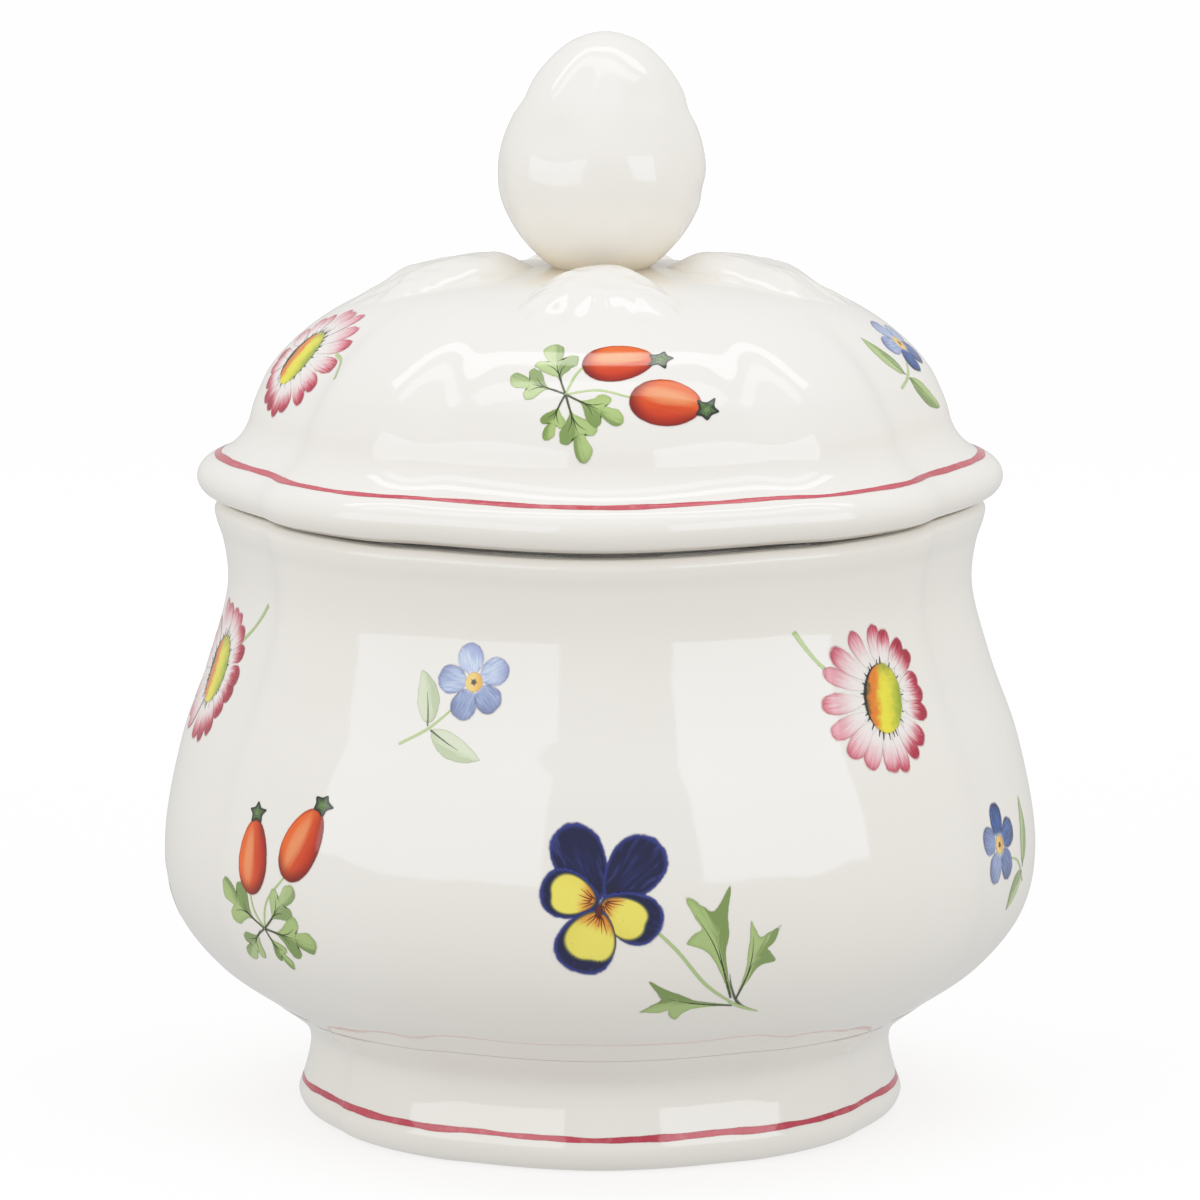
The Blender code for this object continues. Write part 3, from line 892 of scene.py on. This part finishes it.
def red_band(name, surface, height, half_width, body, seed):
    """The rose line brushed round an edge while the piece turns on a wheel."""
    rng = random.Random(seed)
    turn = np.arange(BAND_SEGMENTS) * 2.0 * math.pi / BAND_SEGMENTS
    waves = [wave * np.sin(count * turn + rng.uniform(0.0, 6.28)) for count, wave in
             ((2, 0.10), (9, 0.05), (23, 0.03), (5, 0.14), (17, 0.10), (41, 0.07))]
    middle = surface.arc_at_height(height) + sum(waves[:3])
    half = half_width * (1.0 + sum(waves[3:]))
    columns = 8
    points, normals, uv = [], [], []
    for column in range(columns + 1):
        arc = middle + half * (2.0 * column / columns - 1.0)
        points.append(surface.lifted(np.degrees(turn), arc, np.full(BAND_SEGMENTS, BAND_LIFT)))
        normals.append(surface.normal(np.degrees(turn), arc))
        uv.extend((column / columns, share) for share in turn / (2.0 * math.pi))
    faces = [tuple(reversed(face)) for face in ring_faces(columns + 1, BAND_SEGMENTS)]
    piece = add_mesh(name, np.vstack(points), faces, [PAINT["rose_line"]], None, uv,
                     [0.5] * (BAND_SEGMENTS * (columns + 1)), np.vstack(normals))
    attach(piece, body)


# ------------------------------ the porcelain pieces
def make_bowl():
    outline = np.vstack([
        curve_through(BOWL_INSIDE, 5),
        curve_through(BOWL_OUTSIDE, 14),
        curve_through(BOWL_UNDERSIDE, 4),
    ])
    material = porcelain_material("bowl_glaze")
    piece = turned("bowl_glazed", outline, BOWL_FORM, material)
    for vertex in piece.data.vertices:
        place = vertex.co / MM
        if place.z > RIM_START:
            vertex.co.z += float(rim_shift(math.degrees(math.atan2(place.x, -place.y)), place.z)) * MM
    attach(piece, "bowl_and_foot")
    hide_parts("bowl")


def make_foot():
    outline = np.vstack([curve_through(FOOT_OUTSIDE, 12), curve_through(FOOT_INSIDE, 4)])
    material = porcelain_material("foot_glaze", bare_below=0.15)
    piece = turned("foot_glazed", outline, BOWL_FORM, material, closed=True)
    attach(piece, "bowl_and_foot")
    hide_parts("foot_ring")


def make_lid():
    outline = np.vstack([
        curve_through([*LID_DOME, *LID_FLARE, *LID_EDGE], 10),
        curve_through(LID_FLANGE, 4),
        curve_through(LID_INSIDE, 5),
    ])
    material = porcelain_material("lid_glaze", 96.4, 97.6)
    piece = turned("lid_glazed", outline, LID_FORM, material)
    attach(piece, "lid_assembly")
    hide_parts("lid")


def make_knob():
    """A closed bud, pinched by hand: soft flats that wind upwards, and shallow dents."""
    rng = random.Random(11)
    outline = curve_through(KNOB_OUTLINE, 10)
    radius, height = outline[1:, :1], outline[1:, 1:]
    turn = np.arange(KNOB_SEGMENTS)[None, :] * 2.0 * math.pi / KNOB_SEGMENTS
    rise = np.clip((height - KNOB_ROOT) / (KNOB_TOP - KNOB_ROOT), 0.0, 1.0)
    swell = np.sin(math.pi * rise) ** 0.7
    depth = 0.30 * (0.5 + 0.5 * np.sin(5 * turn + 3.4 * rise + 0.8)) * swell
    depth = depth + 0.12 * (0.5 + 0.5 * np.sin(9 * turn - 5.0 * rise + 2.0)) * swell
    for _ in range(26):
        spot = rng.uniform(0.0, 2.0 * math.pi)
        level = rng.uniform(0.08, 0.95)
        size = rng.uniform(0.13, 0.30)
        away = np.angle(np.exp(1j * (turn - spot)))
        near = np.exp(-((away * 0.62) ** 2 + (1.5 * (rise - level)) ** 2) / size ** 2)
        depth = depth + rng.uniform(0.12, 0.46) * near * swell
    for side, level, depth_there, size in KNOB_DENTS:
        away = np.angle(np.exp(1j * (turn - math.radians(side)))) * radius
        depth = depth + depth_there * np.exp(-(away / 3.2) ** 2 - ((height - level) / size) ** 2)
    reach = radius - depth
    lean = 0.15 + 0.45 * ease(2.0 * rise - 1.0)
    grid = np.stack([reach * np.sin(turn) + lean, -reach * np.cos(turn), height + 0.0 * turn], axis=-1)
    points = np.vstack([grid.reshape(-1, 3), [[0.6, 0.0, KNOB_PEAK]]])
    faces = ring_faces(len(height), KNOB_SEGMENTS) + fan_faces(len(points) - 1, 0, KNOB_SEGMENTS)
    material = porcelain_material("knob_glaze", 101.5, 97.5)
    piece = add_mesh("knob_glazed", points, faces, [material])
    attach(piece, "lid_assembly")
    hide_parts("knob")


def dome_point(side, radius, azimuth, lift):
    """Point at a distance and sideways step from the axis, lifted straight up off the dome."""
    distance = np.hypot(radius, side)
    own = azimuth + np.degrees(np.arctan2(side, radius))
    inner = LID.outline[LID.outline[:, 1] > 82.0]
    order = np.argsort(inner[:, 0])
    reach = distance.copy()
    for _ in range(6):
        height = np.interp(reach, inner[order, 0], inner[order, 1])
        reach = distance / LID_FORM.factor(height, own)
    height = np.interp(reach, inner[order, 0], inner[order, 1])
    turn = np.radians(own)
    return np.stack([distance * np.sin(turn), -distance * np.cos(turn), height + lift], axis=-1)


def make_leaf(node, azimuth, plump, seed):
    """A plump moulded leaf that spreads from the knob's root and sinks into the dome along a wavy edge."""
    rng = random.Random(seed)
    phases = [rng.uniform(0.0, 6.28) for _ in range(8)]
    mirrored = [(reach, -side) for reach, side in LEAF_HALF[-2:0:-1]]
    loop = curve_through([*LEAF_HALF, *mirrored], 18, closed=True)
    count, rings = len(loop), 44
    middle = np.array([LEAF_MIDDLE, 0.0])
    turn = np.arange(count) * 2.0 * math.pi / count
    scallop = 1.0 + 0.022 * np.sin(14 * turn + phases[0]) + 0.014 * np.sin(23 * turn + phases[1])
    outer = ease((loop[:, 0] - 14.0) / 6.0)
    border = middle + (loop - middle) * (1.0 + (scallop - 1.0) * outer)[:, None]
    reach = (np.arange(rings + 1) / rings)[:, None, None]
    spots = middle + (border - middle)[None, :, :] * reach
    radius, side = spots[..., 0], spots[..., 1]
    inside = np.linalg.norm(border - middle, axis=1)[None, :] * (1.0 - reach[..., 0])
    relief = plump * table_value(LEAF_RELIEF, radius)
    edge = np.clip(inside / (3.2 + 3.4 * ease((radius - 13.0) / 8.0)), 0.0, 1.0)
    cushion = np.sin(0.5 * math.pi * edge) ** 0.85
    ridge = 0.16 * np.exp(-(side / 2.4) ** 2) * ease((radius - 9.0) / 5.0)
    flank = np.exp(-((inside - 3.6) / 2.6) ** 2) * ease((radius - 12.0) / 5.0)
    ripple = 0.07 * np.sin(1.25 * side + phases[2] + 0.9 * np.sin(0.5 * radius)) \
        + 0.05 * np.sin(2.1 * side + 1.1 * radius + phases[3]) \
        + 0.05 * np.sin(1.5 * radius - 0.7 * side + phases[4])
    swell = 0.17 * np.sin(0.62 * side + phases[5]) * np.sin(0.45 * radius + phases[6])
    lift = relief * cushion + (ridge + swell) * edge + ripple * flank - 0.06 * (1.0 - ease(inside / 0.9))
    points = dome_point(side, radius, azimuth, lift)
    points = np.vstack([points[0, :1], points[1:].reshape(-1, 3)])
    faces = fan_faces(0, 1, count, flip=True)
    faces += [tuple(reversed(face)) for face in ring_faces(rings, count, 1)]
    material = porcelain_material(node + "_glaze")
    piece = add_mesh(node + "_glazed", points, faces, [material])
    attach(piece, "lid_assembly")
    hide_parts(node)


# ------------------------------ stage, light and camera
def make_stage():
    """A white floor that the object's shadow falls on. It lights nothing and no glaze reflects it."""
    mesh = bpy.data.meshes.new("floor")
    rim = np.pad(oval(FLOOR_RADIUS, FLOOR_RADIUS, 64), ((0, 0), (0, 1)), constant_values=FLOOR_LEVEL)
    mesh.from_pydata(rim.tolist(), [], [tuple(range(64))])
    nodes = Nodes("floor_white")
    settings = nodes.shader.inputs
    settings["Base Color"].default_value = (0.9, 0.9, 0.9, 1.0)
    settings["Roughness"].default_value = 0.9
    settings["Specular IOR Level"].default_value = 0.0
    glow = nodes.ramp(nodes.place()["Y"], 0.08, 0.7)
    nodes.plug(nodes.scaled(glow, FLOOR_GLOW, FLOOR_LIFT), settings["Emission Strength"])
    settings["Emission Color"].default_value = (1.0, 1.0, 1.0, 1.0)
    mesh.materials.append(nodes.material)
    floor = add_object("floor", mesh)
    floor.visible_glossy = False
    floor.visible_diffuse = False
    world = bpy.data.worlds.new("studio")
    world.use_nodes = True
    backdrop = world.node_tree.nodes["Background"].inputs
    backdrop["Color"].default_value = (1.0, 1.0, 0.995, 1.0)
    backdrop["Strength"].default_value = WORLD_LIGHT
    bpy.context.scene.world = world


def make_lights():
    """Soft rectangular lights, each as bright as its radiance says whatever its size."""
    for name, middle, target, width, height, radiance in PANEL_LIGHTS:
        light = bpy.data.lights.new(name, "AREA")
        light.shape = "RECTANGLE"
        light.size = width * MM
        light.size_y = height * MM
        light.energy = radiance * math.pi * light.size * light.size_y
        lamp = add_object(name, light)
        lamp.location = Vector(middle) * MM
        lamp.rotation_euler = (Vector(target) - Vector(middle)).to_track_quat("-Z", "Y").to_euler()
        lamp.visible_camera = False


def make_camera():
    camera = bpy.data.cameras.new("camera")
    camera.lens = CAMERA_LENS
    camera.sensor_width = SENSOR_WIDTH
    camera.clip_start = 0.05
    holder = add_object("camera", camera)
    holder.location = Vector(CAMERA_PLACE) * MM
    holder.rotation_euler = (math.pi / 2.0 - CAMERA_PITCH, 0.0, 0.0)
    bpy.context.scene.camera = holder


def develop():
    """A film-like shoulder, so that bright reflections roll off instead of clipping."""
    settings = bpy.context.scene.view_settings
    settings.view_transform = "Standard"
    settings.use_curve_mapping = True
    mapping = settings.curve_mapping
    mapping.white_level = (WHITE_POINT, WHITE_POINT, WHITE_POINT)
    curve = mapping.curves[3]
    curve.points[0].location = (0.0, TONES[0][1])
    curve.points[-1].location = (1.0, TONES[-1][1])
    for brightness, shown in TONES[1:-1]:
        curve.points.new(brightness / WHITE_POINT, shown)
    mapping.update()


# ------------------------------ the decoration
HIP_FRUITS = (((-2.2, 7.8), 93.0, 8.6, 5.2), ((5.6, 10.2), 65.0, 9.2, 5.6))
HIP_STEMS = (((0.0, 0.0), (-1.6, 1.8), (-2.3, 3.8)), ((0.0, 0.0), (0.6, 3.0), (3.6, 6.4)))
HIP_LEAVES = (
    ((-0.6, 0.2), (-8.2, 4.0), 4.0, 0.95), ((0.6, 0.4), (5.0, 5.4), 3.4, 0.8),
    ((-0.8, -0.2), (-4.4, -4.4), 3.2, 0.85), ((0.6, -0.1), (8.2, -0.8), 3.8, 0.95),
    ((0.2, -0.4), (3.5, -4.4), 2.0, 1.0),
)
LID_HIP_FRUITS = (((5.5, 4.6), 4.0, 8.2, 5.7), ((11.4, -1.2), -14.0, 9.0, 5.8))
LID_HIP_STEMS = (((0.0, 0.0), (1.0, 2.8), (2.0, 4.4)), ((0.0, 0.0), (3.6, 0.6), (7.2, -0.4)))
LID_HIP_LEAVES = (
    ((-0.4, 0.8), (-2.2, 7.4), 3.9, 0.75), ((-0.8, 0.4), (-6.6, 1.8), 3.5, 0.7),
    ((-0.4, -0.8), (-1.8, -5.6), 2.3, 1.0), ((0.2, -0.8), (2.8, -7.8), 3.3, 0.95),
    ((0.6, -0.4), (6.6, -3.2), 3.2, 0.95),
)
SPRIG_TO_LEFT = (            # a forget-me-not's stem, then the base, tip and width of its leaves
    ((-1.8, -2.6), (-5.0, -5.4), (-8.4, -7.4)),
    (((-5.2, -5.2), (-6.6, 1.2), 2.9), ((-4.8, -5.6), (2.0, -8.6), 2.9)),
)
SPRIG_TO_RIGHT = (
    ((1.8, -2.6), (5.0, -5.2), (8.2, -7.0)),
    (((5.2, -5.0), (7.4, 0.8), 2.9), ((5.0, -5.4), (-1.6, -8.6), 2.9)),
)
SPRIG_BESIDE = (
    ((2.6, -2.2), (5.4, -3.4), (7.4, -6.4)),
    (((7.0, -4.6), (9.2, 3.4), 2.3), ((6.8, -4.9), (2.2, -8.6), 2.6)),
)
BODY_DAISIES = (             # azimuth, height, turn, side with most colour, and stem
    ("daisy_right", 45.5, 53.1, -15.0, 20.0, ((-6.6, 1.2), (-9.5, 2.6), (-12.8, 5.4))),
    ("daisy_left", -78.5, 52.7, 0.0, -20.0, ((4.6, 3.8), (7.4, 6.0), (10.2, 9.0))),
    ("daisy_far_right", 126.0, 32.0, 0.0, 160.0, ((5.0, -5.6), (7.4, -8.6), (8.2, -11.6))),
    ("daisy_far_left", 205.0, 52.0, 0.0, 30.0, ((-6.0, -4.2), (-9.2, -6.2), (-11.4, -6.4))),
)
BODY_FORGET_ME_NOTS = (      # azimuth, height, turn, petals' tints, reach, first petal, leaves' tint, sprig
    ("left", -19.0, 56.5, 0.0, (0.0, 0.12, 0.5, 0.5, 0.22), 4.5, 108.0, 0.05, SPRIG_TO_LEFT),
    ("right", 67.0, 34.4, 6.0, (1.0, 0.95, 0.75, 0.45, 0.6), 4.8, 84.0, 0.8, SPRIG_BESIDE),
    ("far_right", 104.0, 56.0, 0.0, (0.3, 0.5, 0.7, 0.4, 0.3), 4.1, 108.0, 0.8, SPRIG_TO_RIGHT),
    ("back", 192.0, 27.5, 12.0, (0.7, 0.6, 0.4, 0.5, 0.8), 4.3, 108.0, 0.8, SPRIG_TO_LEFT),
    ("far_left", 267.0, 28.0, -8.0, (0.4, 0.2, 0.6, 0.7, 0.3), 4.2, 108.0, 0.8, SPRIG_TO_RIGHT),
)


def decorate_body():
    body, slot = "bowl_and_foot", "bowl_porcelain"
    rng = random.Random(3)
    for name, azimuth, height in (("pansy_front", 0.0, 33.6), ("pansy_back_right", 158.0, 47.0),
                                  ("pansy_back_left", 240.0, 50.5)):
        motif = Motif(name, BODY, azimuth, height)
        paint_pansy(motif, rng)
        motif.finish(body, slot)
    for name, azimuth, height, turn, heavy, stem in BODY_DAISIES:
        motif = Motif(name, BODY, azimuth, height, turn)
        motif.line("stem", stem, [0.34, 0.28, 0.36], 0.7, 20)
        paint_daisy(motif, rng, heavy=heavy)
        motif.finish(body, slot)
    for side, azimuth, height, turn, tints, reach, first, leaf_tint, (stem, leaves) in BODY_FORGET_ME_NOTS:
        motif = Motif("forget_me_not_" + side, BODY, azimuth, height, turn)
        motif.line("stem", stem, [0.12, 0.2, 0.2], 0.6, 20)
        for base, tip, width in leaves:
            paint_leaf(motif, base, tip, width, 0.4, rng, leaf_tint)
        paint_forget_me_not(motif, rng, tints, reach, first)
        motif.finish(body, slot)
    for name, azimuth, height, turn in (("rosehips_left", -49.0, 27.5, 0.0),
                                        ("rosehips_back", 222.0, 24.0, -14.0)):
        motif = Motif(name, BODY, azimuth, height, turn)
        paint_rosehips(motif, rng, HIP_FRUITS, HIP_LEAVES, HIP_STEMS)
        motif.finish(body, slot)


def decorate_lid():
    body, slot = "lid_assembly", "lid_porcelain"
    rng = random.Random(8)
    for name, azimuth, height, heavy, stem in (
        ("lid_daisy_left", -75.5, 88.4, 250.0, ((7.2, 1.4), (9.6, 0.6), (12.0, -1.6))),
        ("lid_daisy_back", 172.0, 87.0, 30.0, ((-6.4, 3.0), (-9.0, 4.4), (-11.4, 4.6))),
    ):
        motif = Motif(name, LID, azimuth, height)
        motif.line("stem", stem, [0.3, 0.3, 0.4], 0.7, 20)
        paint_daisy(motif, rng, reach=8.7, disc=(2.9, 4.1), heavy=heavy, long_side=30.0)
        motif.finish(body, slot)
    for name, azimuth, height in (("lid_rosehips_front", -6.0, 87.7), ("lid_rosehips_back", 232.0, 87.0)):
        motif = Motif(name, LID, azimuth, height)
        paint_rosehips(motif, rng, LID_HIP_FRUITS, LID_HIP_LEAVES, LID_HIP_STEMS)
        motif.finish(body, slot)
    for name, azimuth, height in (("lid_forget_me_not_right", 81.0, 89.4),
                                  ("lid_forget_me_not_back", 128.0, 86.0)):
        motif = Motif(name, LID, azimuth, height)
        motif.line("stem", ((-2.2, -2.0), (-4.6, -4.0), (-8.2, -5.4)), [0.14, 0.22, 0.2], 0.6, 20)
        paint_leaf(motif, (-5.2, -4.0), (-8.0, 2.6), 2.6, -0.5, rng, 0.8)
        paint_leaf(motif, (-5.0, -4.4), (0.4, -8.8), 2.8, 0.5, rng, 0.9)
        paint_forget_me_not(motif, rng, (0.3, 0.3, 0.95, 1.0, 0.35), 4.4)
        motif.finish(body, slot)


make_bowl()
make_foot()
make_lid()
make_knob()
for number, leaf in enumerate(LEAVES):
    make_leaf(*leaf, 20 + number)
red_band("foot_line", FOOT, 4.0, 0.42, "bowl_and_foot", 5)
red_band("lid_line", LID, 76.35, 0.55, "lid_assembly", 6)
decorate_body()
decorate_lid()
make_stage()
make_lights()
make_camera()
develop()
